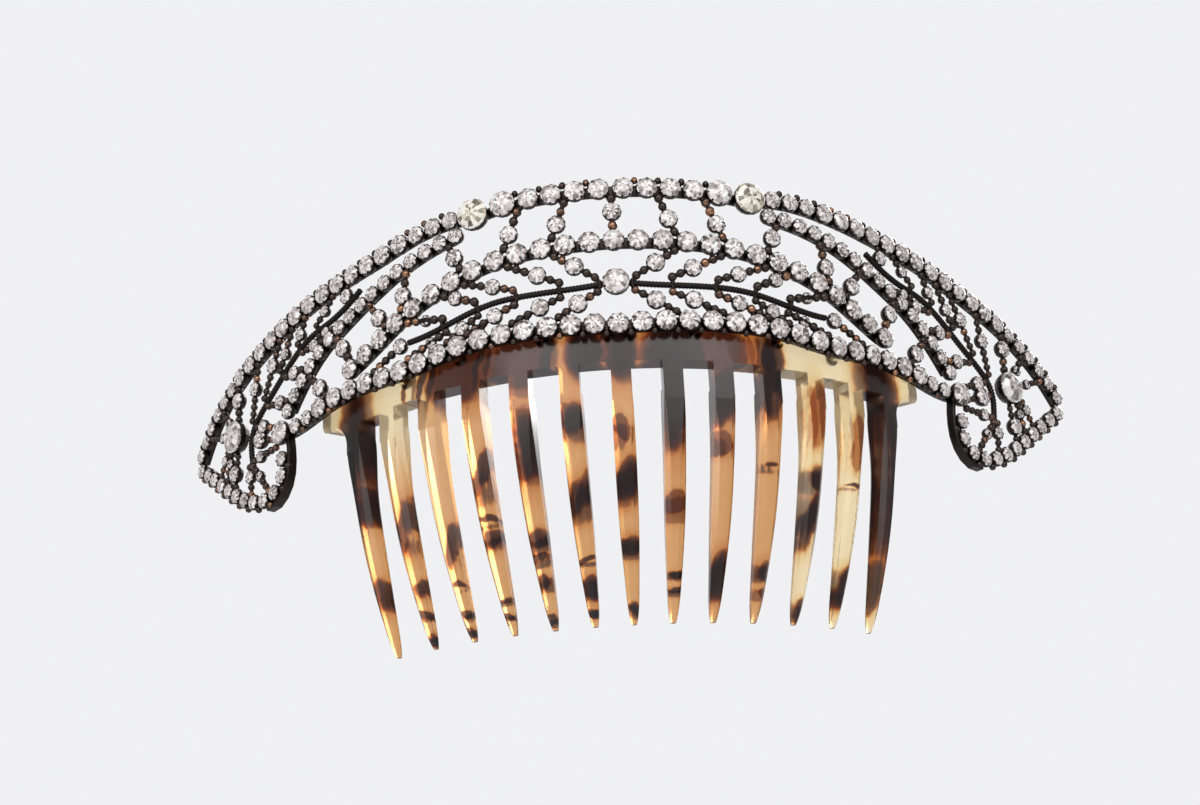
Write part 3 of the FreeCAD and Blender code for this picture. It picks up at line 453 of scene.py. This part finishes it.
class TiaraStageSizes(bpy.types.PropertyGroup):
    floor_drop: FloatProperty(name="Floor", description="Depth of the floor below the comb",
                              default=0.42, unit="LENGTH")
    lens: FloatProperty(name="Lens", description="Focal length", default=75.0, unit="CAMERA")
    world: FloatProperty(name="Surroundings", description="Brightness all round", default=1.0)


# ---------------------------------------------------------------- operators
class TIARA_OT_collets(bpy.types.Operator):
    """Turn the coronet collets: tapered cups whose rims rise into small claws over the stones"""
    bl_idname = "tiara.collets"
    bl_label = "Collets"

    def execute(self, context):
        claws = context.scene.tiara_stones.claw_count
        around = 2 * claws
        finish = blackened_metal("blackened_collets", "38322f", "8a6a54", 0.32, 0.02)
        claw = np.arange(around) % 2 == 0
        # a ring is (share of the collet's radius, share of its depth) at the claws and between
        rings = [((0.84, 0.0), (0.84, 0.0)), ((1.0, 0.5), (1.0, 0.5)),
                 ((1.01, 0.97), (0.975, 0.86)), ((0.86, 1.2), (0.945, 0.9)),
                 ((0.82, 0.9), (0.88, 0.8))]
        wide = np.concatenate([np.where(claw, a[0], b[0]) for a, b in rings])
        tall = np.concatenate([np.where(claw, a[1], b[1]) for a, b in rings])
        angle = np.tile(circle(around), len(rings))
        faces = tube_faces(len(rings), around)
        for number, name in enumerate(COLLETS):
            spots = solids(name)
            count = len(spots["half"])
            chance = np.random.default_rng(100 + number)
            turn = chance.uniform(0, math.pi, count)[:, None]
            depth = (spots["high"] - spots["low"])[:, None]
            points = stand(spots, angle + turn, spots["half"][:, None] * wide,
                           spots["low"][:, None] + depth * tall)
            made = piece(name.replace("collets", "coronets"), points,
                         repeat(faces, count, len(angle)), finish, [name],
                         smooth=False)
            facing_out(made)
        return {"FINISHED"}


class TIARA_OT_stones(bpy.types.Operator):
    """Cut the paste stones: table, star, kite and girdle facets over a closed back"""
    bl_idname = "tiara.stones"
    bl_label = "Stones"

    def execute(self, context):
        sizes = context.scene.tiara_stones
        # dark to white stops are painted reflections, over the clear or yellowed tone of each paste
        clear = paste_with_painted_flashes("clear_paste_painted_flashes",
                          [(0.0, "2f2827"), (0.12, "6b605d"), (0.32, "a89c95"),
                           (0.58, "d2c8c2"), (0.84, "fbf8f6")])
        yellow = paste_with_painted_flashes("aged_paste_painted_flashes",
                           [(0.0, "4a4437"), (0.14, "8f8672"), (0.4, "cdc4ad"), (0.72, "faf6ea")])
        half_step = math.pi / 8
        eighth, sixteenth = circle(8), circle(16) + half_step
        # rings from the back: culet, girdle below, girdle above, kite points, table
        ring_sizes = [16, 16, 16, 8, 8]
        angle = np.concatenate([sixteenth, sixteenth, sixteenth, eighth + half_step, eighth])
        wide = np.repeat([0.4, GIRDLE, GIRDLE, 0.84, sizes.table], ring_sizes)
        tall = np.repeat([0.0, 0.6, 0.68, 0.87, 1.0], ring_sizes)
        k = np.arange(8)
        girdle, kite, table = 32 + 2 * k, 48 + k, 56 + k
        after = 32 + (2 * k + 1) % 16
        upper = [np.stack([girdle, after, kite], 1),
                 np.stack([32 + (2 * k - 1) % 16, girdle, kite], 1),
                 np.stack([kite, after, np.roll(kite, -1), np.roll(table, -1)], 1),
                 np.stack([table, kite, np.roll(table, -1)], 1),
                 table[None]]
        faces = [ring_faces(3, 16), np.arange(16)[None, ::-1]] + upper
        for number, name in enumerate(STONES):
            spots = solids(name)
            count = len(spots["half"])
            chance = np.random.default_rng(500 + number)
            turn = chance.uniform(0, math.pi, count)[:, None]
            tilt = chance.normal(0, sizes.tilt / 2, (count, 2))
            depth = (spots["high"] - spots["low"])[:, None]
            points = stand(spots, angle + turn, spots["half"][:, None] * wide,
                           spots["low"][:, None] + depth * tall, tilt)
            aged = name.startswith("collar")
            made = piece(name.replace("stones", "pastes"), points,
                         repeat(faces, count, len(angle)), yellow if aged else clear,
                         [name], smooth=False)
            cut = made.data.attributes.new("cut", "FLOAT_VECTOR", "POINT")
            disc = np.stack([np.cos(angle) * wide, np.sin(angle) * wide], axis=1)
            which = np.repeat(np.arange(count) + 50 * number, len(angle))
            values = np.column_stack([np.tile(disc, (count, 1)), which])
            cut.data.foreach_set("vector", values.astype(np.float32).ravel())
            facing_out(made)
        return {"FINISHED"}


class TIARA_OT_beads(bpy.types.Operator):
    """Cast the shot beads of the posts and sprays and the grains along the rows"""
    bl_idname = "tiara.beads"
    bl_label = "Beads"

    def execute(self, context):
        finish = bead_metal_with_painted_glints()
        around, levels = 10, 5
        polar = np.linspace(0, math.pi, levels + 2)[1:-1]
        # rings of latitude, then the two poles
        angle = np.concatenate([np.tile(circle(around), levels), [0.0, 0.0]])
        wide = np.concatenate([np.repeat(np.sin(polar), around), [0.0, 0.0]])
        tall = np.concatenate([np.repeat(-np.cos(polar), around), [-1.0, 1.0]])
        k = np.arange(around)
        low_pole, high_pole = levels * around, levels * around + 1
        top = (levels - 1) * around
        faces = [ring_faces(levels, around),
                 np.stack([(k + 1) % around, k, np.full(around, low_pole)], 1),
                 np.stack([top + k, top + (k + 1) % around, np.full(around, high_pole)], 1)]
        # most beads stay black: the share of rubbed copper and painted highlight is half a random
        # number's cube
        for number, name in enumerate(BEADS):
            spots = solids(name)
            spots["axis"] = np.tile([0.0, -1.0, 0.0], (len(spots["half"]), 1))
            count = len(spots["half"])
            chance = np.random.default_rng(900 + number)
            swell = chance.uniform(0.94, 1.03, (2, count, 1)) * spots["half"][:, None]
            points = stand(spots, angle + chance.uniform(0, 1, (count, 1)),
                           swell[0] * wide, swell[1] * tall)
            made = piece(name.replace("beads", "shot").replace("grains", "graining"), points,
                         repeat(faces, count, len(angle)), finish, [name])
            # each bead's share of copper colour: rubbed copper and a painted highlight in one
            coppery_tone = made.data.attributes.new("coppery_tone", "FLOAT", "POINT")
            share = np.repeat(0.5 * chance.uniform(0, 1, count) ** 3, len(angle))
            coppery_tone.data.foreach_set("value", share.astype(np.float32))
        return {"FINISHED"}


class TIARA_OT_strips(bpy.types.Operator):
    """Round the edges of the rails, rims and walls that the collets stand on"""
    bl_idname = "tiara.strips"
    bl_label = "Strips"

    def execute(self, context):
        finish = blackened_metal("blackened_strip", "342f2c", "6e584a", 0.36, 0.0)
        for name in STRIPS:
            softened(name, name + "_edged", finish, STRIP_EDGE)
        return {"FINISHED"}


def solder_joints():
    """Where solder runs: its two ends and its bead's radius, as arrays over the joints.

    Beads are tried against each other, then against the sides of the collets, then against the
    wires.
    """
    beads = [solids(n) for n in BEADS if "_beads" in n]
    balls = np.concatenate([b["centre"] for b in beads])
    size = np.concatenate([b["half"] for b in beads])
    gap = np.linalg.norm(balls[:, None] - balls[None], axis=-1) - size[:, None] - size[None]
    first, second = np.nonzero(np.triu(gap < SOLDER_GAP, 1))
    starts, ends = [balls[first]], [balls[second]]
    thin = [np.minimum(size[first], size[second])]
    cups = [solids(n) for n in COLLETS]
    spots = {k: np.concatenate([c[k] for c in cups]) for k in ("centre", "axis", "half")}
    way = spots["centre"][None] - balls[:, None]
    flat = way - (way * spots["axis"][None]).sum(axis=-1)[..., None] * spots["axis"][None]
    gap = np.linalg.norm(flat, axis=-1) - size[:, None] - spots["half"][None]
    level = np.linalg.norm(way - flat, axis=-1)
    beside = level < spots["half"][None] + SOLDER_REACH
    first, second = np.nonzero((gap < SOLDER_GAP) & beside)
    starts.append(balls[first])
    ends.append(balls[first] + flat[first, second])
    thin.append(size[first])
    for name in WIRES:
        line = centreline(name)
        nearest, away = nearest_on(line, balls)
        touching = np.nonzero(away - size - WIRE_RADIUS < SOLDER_GAP)[0]
        starts.append(balls[touching])
        ends.append(line[nearest[touching]])
        thin.append(size[touching])
    return np.concatenate(starts), np.concatenate(ends), np.concatenate(thin)


class TIARA_OT_solder(bpy.types.Operator):
    """Run waisted necks of solder between beads that touch each other, a collet or a wire"""
    bl_idname = "tiara.solder"
    bl_label = "Solder"

    def execute(self, context):
        # a neck's radius is  bead * (waist + flare * (2 * share - 1) ** 2)  over its share of the
        # way, so it opens into the two pieces that it joins; no neck runs along the slanting
        # direction that its sides are squared against
        starts, ends, thin = solder_joints()
        rings, around = 5, 8
        way = ends - starts
        first = unit(np.cross(way, [0.0, -1.0, 0.3]))
        second = unit(np.cross(way, first))
        angle = np.tile(circle(around), rings)
        share = np.repeat(np.linspace(0.0, 1.0, rings), around)
        reach = thin[:, None] * (NECK_WAIST + NECK_FLARE * (2 * share - 1) ** 2)[None]
        points = (starts[:, None] + share[None, :, None] * way[:, None]
                  + reach[..., None] * spokes(angle, first, second))
        finish = blackened_metal("solder", "332d2a", "7a5e4c", 0.4, 0.0)
        made = piece("solder_necks", points.reshape(-1, 3),
                     repeat(tube_faces(rings, around), len(starts), len(angle)),
                     finish, [])
        facing_out(made)
        return {"FINISHED"}


class TIARA_OT_wires(bpy.types.Operator):
    """Wind the stems of the sprays with fine wire"""
    bl_idname = "tiara.wires"
    bl_label = "Wires"

    def execute(self, context):
        finish = blackened_metal("blackened_wire", "2e2a28", "7d604c", 0.36, 0.0)
        for name in WIRES:
            corners, faces = wrapped(centreline(name))
            facing_out(piece(name + "_wound", corners, faces, finish, [name]))
        return {"FINISHED"}


class TIARA_OT_comb(bpy.types.Operator):
    """Polish the celluloid comb: eased edges and a tortoiseshell mottle"""
    bl_idname = "tiara.comb"
    bl_label = "Comb"

    def execute(self, context):
        softened("comb_body", "celluloid_comb", celluloid(), COMB_EDGE)
        return {"FINISHED"}


# Clouds of dark dye in the celluloid: (along, height, half width, half height, slant, lightness).
# Along and height are mm from the middle slot top, slant is degrees that a cloud's top leans to
# the right, and lightness 0 is a dark cloud and 1 only an orange glow.
HEADING_CLOUDS = [
    (-54.5, -5, 4.0, 12, 3, 0), (-40.3, 3, 0.6, 5, 8, 0.8), (-36.6, 3, 0.9, 6, 8, 0.1),
    (-30, 2, 6.0, 6, 0, 0.84), (-25, 3, 1.0, 6, 12, 0), (-18, 2, 6.0, 6, 0, 0.82),
    (-13, 2.5, 1.5, 6, 14, 0), (-6.2, 2, 3.6, 5.5, 5, 0), (0.3, 2, 3.2, 5.5, 0, 0.7),
    (9.8, 1, 6.6, 7, 4, 0), (18.5, 2.5, 4.0, 5.5, 0, 0.84), (23.8, 2, 1.3, 4, 0, 0.98),
    (27.4, 0.5, 2.0, 7, 0, 0), (52.2, 0, 4.9, 12, -3, 0)]
TOOTH_CLOUDS = [
    (-53.2, -17, 2.9, 4, -25, 0), (-51.5, -33, 2.4, 3.2, -30, 0), (-43.2, -22, 1.7, 6, 20, 0),
    (-42.6, -33.5, 2.3, 1.3, -20, 0), (-42.5, -38.5, 2.2, 0.7, 10, 0), (-42.4, -42.4, 2.2, 1, 0, 0),
    (-33.8, -27.5, 0.9, 4.5, 10, 0), (-33.8, -34.2, 1.2, 0.5, 0, 0.1), (-33.7, -39.3, 2, 0.5, 0, 0),
    (-33.7, -42.3, 1.8, 0.9, 0, 0), (-25.9, -16.5, 1.5, 5, 25, 0), (-25.6, -24.6, 2, 0.5, 0, 0),
    (-25.6, -28, 1.8, 1.6, -20, 0), (-25.5, -38.5, 2, 0.5, 0, 0), (-25.5, -40.7, 2, 0.4, 0, 0),
    (-17.3, -13, 2.7, 6.5, 0, 0.1), (-17, -29, 2.3, 1.4, 5, 0), (-17, -32, 2.3, 0.7, -5, 0),
    (-16.8, -36.3, 1.4, 1.3, 0, 0), (-16.5, -42.3, 1.8, 0.8, 0, 0), (-8.6, -9.5, 2.7, 3, -10, 0),
    (-8.2, -22.5, 2.2, 4.4, 28, 0), (-8, -33.2, 2, 0.5, 4, 0), (-7.8, -37.8, 1.8, 2.2, -10, 0),
    (-7.8, -41.4, 1.8, 0.6, 0, 0), (-0.6, -12, 1.3, 2.5, -15, 0.85), (0.4, -20.5, 2.3, 4, 28, 0),
    (0.3, -31, 2.3, 1.7, 0, 0), (0.4, -41.8, 1.6, 1, 0, 0), (8.7, -8, 2.8, 8, 0, 0),
    (8.6, -25, 2.2, 2.2, 35, 0.9), (8.5, -36.3, 1.9, 0.8, 0, 0), (8.5, -38.9, 1.9, 0.6, 0, 0),
    (17.6, -6, 2.8, 6.5, 18, 0), (16.9, -14.5, 2.4, 2, -10, 0.88), (17, -36.5, 2.2, 4.2, 20, 0),
    (26.5, -5, 2.0, 5, 0, 0.6), (26.7, -18, 1.3, 0.6, 0, 0), (26.4, -35.5, 2.2, 1.6, 0, 0),
    (26.3, -39, 1.5, 1, 0, 0.88), (36, -8, 1.6, 6, 0, 0.98), (36.6, -19.5, 1.9, 2.4, -12, 0),
    (35.3, -26.5, 1.6, 5.5, 22, 0.2), (35, -42, 2, 1.8, 0, 0), (44.8, -12, 1.2, 5, 6, 0.98),
    (44.5, -19.8, 1.3, 0.4, 0, 0), (44, -37, 2, 4, 25, 0), (52.8, -17, 2.9, 15, 0, 0.05),
    (51.2, -36, 2.2, 5, 15, 0)]
AMBER_MIDDLE = -4.5         # mm along the comb, where the amber is deepest


def celluloid():
    """Cellulose nitrate sheet, heat-bent, sawn and polished, dyed in the block like tortoiseshell.

    To the eye it is clear honey yellow with brown clouds whose rims glow orange, under a high
    polish.  A cloud is an ellipse on the unrolled comb; the nearest cloud's distance, counted in
    its own half sizes and stirred by noise, picks the shade.
    """
    made, tree, shader = material("mottled_celluloid", Roughness=0.2, IOR=1.5,
                                  Transmission_Weight=0.88)
    place = add(tree, "Mapping", {"Vector": add(tree, "TexCoord").outputs["Object"],
                                  "Location": -slot_top()}).outputs[0]
    x, y, z = add(tree, "SeparateXYZ", {0: place}).outputs
    back = add(tree, "Math", {0: y, 1: -1.0}, operation="MULTIPLY").outputs[0]
    turn = add(tree, "Math", {0: x, 1: back}, operation="ARCTAN2").outputs[0]
    along = add(tree, "Math", {0: turn, 1: HEADING_RADIUS}, operation="MULTIPLY").outputs[0]
    height = add(tree, "Math", {0: z, 1: 1 / MM}, operation="MULTIPLY").outputs[0]
    flat = add(tree, "CombineXYZ", {0: along, 1: height}).outputs[0]
    # two sizes of stirring: 5 mm eddies that bend a cloud, 1.2 mm wisps that fray its rim
    for eddy, throw in ((5.0, 3.4), (1.2, 0.7)):
        noise = add(tree, "TexNoise", {"Vector": place, "Scale": grain(eddy), "Detail": 2.0})
        middle = add(tree, "VectorMath", {0: noise.outputs["Color"], 1: (0.5, 0.5, 0.5)},
                     operation="SUBTRACT")
        flat = add(tree, "VectorMath", {0: middle.outputs[0], 1: (throw, throw, 0.0), 2: flat},
                   operation="MULTIPLY_ADD").outputs[0]
    nearest = None
    for s, h, wide, tall, slant, light in HEADING_CLOUDS + TOOTH_CLOUDS:
        own = add(tree, "Mapping", {"Vector": flat, "Location": (s, h, 0), "Scale": (wide, tall, 1),
                                    "Rotation": (0, 0, -math.radians(slant))},
                  vector_type="TEXTURE")
        away = add(tree, "VectorMath", {0: own.outputs[0]}, operation="LENGTH").outputs["Value"]
        if light:
            away = add(tree, "Math", {0: away, 1: light}, operation="MAXIMUM").outputs[0]
        nearest = away if nearest is None else add(tree, "Math", {0: nearest, 1: away},
                                                   operation="MINIMUM").outputs[0]
    # a cloud's edge falls at 0.5 on the ramps
    share = add(tree, "Math", {0: nearest, 1: 0.5}, operation="MULTIPLY").outputs[0]
    dyed = [(0.0, "170b0a"), (0.36, "26120e"), (0.45, "5c2a14"), (0.49, "9c4c1c")]
    amber = colours(add(tree, "ValToRGB", {"Fac": share}),
                    dyed + [(0.54, "ce8b4e"), (0.64, "d9985c"), (0.9, "e2ab70")])
    blond = colours(add(tree, "ValToRGB", {"Fac": share}),
                    dyed + [(0.54, "e3a458"), (0.63, "f8d798"), (0.9, "ffebc0")])
    # the middle teeth are amber; blond comes in 22 to 33 mm to either side, sooner higher up, and
    # is full by 34 mm on the right
    aside = add(tree, "Math", {0: along, 1: AMBER_MIDDLE}, operation="SUBTRACT").outputs[0]
    aside = add(tree, "Math", {0: aside}, operation="ABSOLUTE").outputs[0]
    raised = add(tree, "Math", {0: height, 1: 1.2, 2: aside}, operation="MULTIPLY_ADD").outputs[0]
    side = add(tree, "MapRange", {"Value": raised, "From Min": 22.0, "From Max": 33.0}).outputs[0]
    right = add(tree, "MapRange", {"Value": along, "From Min": 29.0, "From Max": 34.0}).outputs[0]
    fair = add(tree, "Math", {0: side, 1: right}, operation="MAXIMUM").outputs[0]
    shade = add(tree, "Mix", {"Factor": fair, 6: amber.outputs["Color"], 7: blond.outputs["Color"]},
                data_type="RGBA")
    tree.links.new(shade.outputs[2], shader.inputs["Base Color"])
    return made


class TIARA_OT_rivets(bpy.types.Operator):
    """Set the rivets' domed heads on the inside of the comb"""
    bl_idname = "tiara.rivets"
    bl_label = "Rivets"

    def execute(self, context):
        finish = blackened_metal("rubbed_rivets", "4a403a", "9c7654", 0.34, 0.12)
        softened("rivet_pins", "rivet_heads", finish, RIVET_EDGE)
        return {"FINISHED"}


class TIARA_OT_stage(bpy.types.Operator):
    """Set up the pale floor, the soft lights, the surroundings and the camera"""
    bl_idname = "tiara.stage"
    bl_label = "Stage"

    def execute(self, context):
        sizes = context.scene.tiara_stage
        scene = context.scene
        slots = slot_top()

        made, tree, shader = material("matt_paper", Roughness=0.9)
        place = add(tree, "TexCoord").outputs["Object"]
        mottle = add(tree, "TexNoise", {"Vector": place, "Scale": grain(25.0)})
        ramp = colours(add(tree, "ValToRGB", {"Fac": mottle.outputs["Fac"]}),
                       [(0.3, "ececee"), (0.7, "f0f0f2")])
        tree.links.new(ramp.outputs["Color"], shader.inputs["Base Color"])
        reach, level = 3.0, -sizes.floor_drop
        mesh = bpy.data.meshes.new("floor")
        mesh.from_pydata([(-reach, -reach, level), (reach, -reach, level), (reach, reach, level),
                          (-reach, reach, level)], [], [(0, 1, 2, 3)])
        mesh.materials.append(made)
        floor = bpy.data.objects.new("floor", mesh)
        scene.collection.objects.link(floor)

        # a pale wall behind the comb, a dimmer room before it
        world = bpy.data.worlds.new("pale_room")
        world.use_nodes = True
        tree = world.node_tree
        way = add(tree, "SeparateXYZ", {0: add(tree, "TexCoord").outputs["Generated"]}).outputs["Y"]
        walls = colours(add(tree, "ValToRGB", {"Fac": way}), [(0.1, "a4a3a6"), (0.6, "f0f0f2")])
        ground = tree.nodes["Background"]
        tree.links.new(walls.outputs["Color"], ground.inputs["Color"])
        ground.inputs["Strength"].default_value = sizes.world
        scene.world = world
        scene.view_settings.view_transform = "Standard"

        # (name, place in m from the slot tops, width, height, watts)
        for name, place, width, height, watts in (
                ("wide_softbox", (0.0, -0.75, 0.42), 1.2, 0.3, 3.6),
                ("front_fill", (0.0, -0.85, 0.1), 1.2, 0.26, 1.3),
                ("left_fill", (-0.8, -0.5, 0.1), 0.3, 0.3, 1.0),
                ("rim_light", (0.5, 0.7, 0.6), 0.5, 0.5, 4.5)):
            lamp = bpy.data.lights.new(name, "AREA")
            lamp.shape = "RECTANGLE"
            lamp.size = width
            lamp.size_y = height
            lamp.energy = watts
            holder = bpy.data.objects.new(name, lamp)
            holder.location = slots + Vector(place)
            holder.rotation_euler = (-Vector(place)).to_track_quat("-Z", "Y").to_euler()
            holder.visible_camera = False
            scene.collection.objects.link(holder)

        # just under half a metre in front of the comb and a little below, looking up at it
        eye = bpy.data.cameras.new("camera")
        eye.lens = sizes.lens
        eye.sensor_width = 36.0
        camera = bpy.data.objects.new("camera", eye)
        camera.location = slots + Vector((-8.1, -467.7, -153.5)) * MM
        camera.rotation_euler = Euler([math.radians(a) for a in (110.03, 2.977, 0.484)])
        scene.collection.objects.link(camera)
        scene.camera = camera
        return {"FINISHED"}


STEPS = (TIARA_OT_comb, TIARA_OT_rivets, TIARA_OT_strips, TIARA_OT_wires, TIARA_OT_collets,
         TIARA_OT_stones, TIARA_OT_beads, TIARA_OT_solder, TIARA_OT_stage)


class TIARA_PT_panel(bpy.types.Panel):
    """Lists the steps and sizes of the tiara comb"""
    bl_idname = "TIARA_PT_panel"
    bl_label = "Tiara comb"
    bl_space_type = "VIEW_3D"
    bl_region_type = "UI"
    bl_category = "Tiara"

    def draw(self, context):
        for group in (context.scene.tiara_stones, context.scene.tiara_stage):
            for name in group.__annotations__:
                self.layout.prop(group, name)
        for step in STEPS:
            self.layout.operator(step.bl_idname)


CLASSES = (TiaraStoneSizes, TiaraStageSizes) + STEPS + (TIARA_PT_panel,)


def register():
    for kind in CLASSES:
        bpy.utils.register_class(kind)
    bpy.types.Scene.tiara_stones = PointerProperty(type=TiaraStoneSizes)
    bpy.types.Scene.tiara_stage = PointerProperty(type=TiaraStageSizes)


def unregister():
    del bpy.types.Scene.tiara_stones
    del bpy.types.Scene.tiara_stage
    for kind in reversed(CLASSES):
        bpy.utils.unregister_class(kind)


def main():
    """Register the add-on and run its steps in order."""
    register()
    bpy.ops.tiara.comb()
    bpy.ops.tiara.rivets()
    bpy.ops.tiara.strips()
    bpy.ops.tiara.wires()
    bpy.ops.tiara.collets()
    bpy.ops.tiara.stones()
    bpy.ops.tiara.beads()
    bpy.ops.tiara.solder()
    bpy.ops.tiara.stage()


if __name__ == "__main__":
    main()
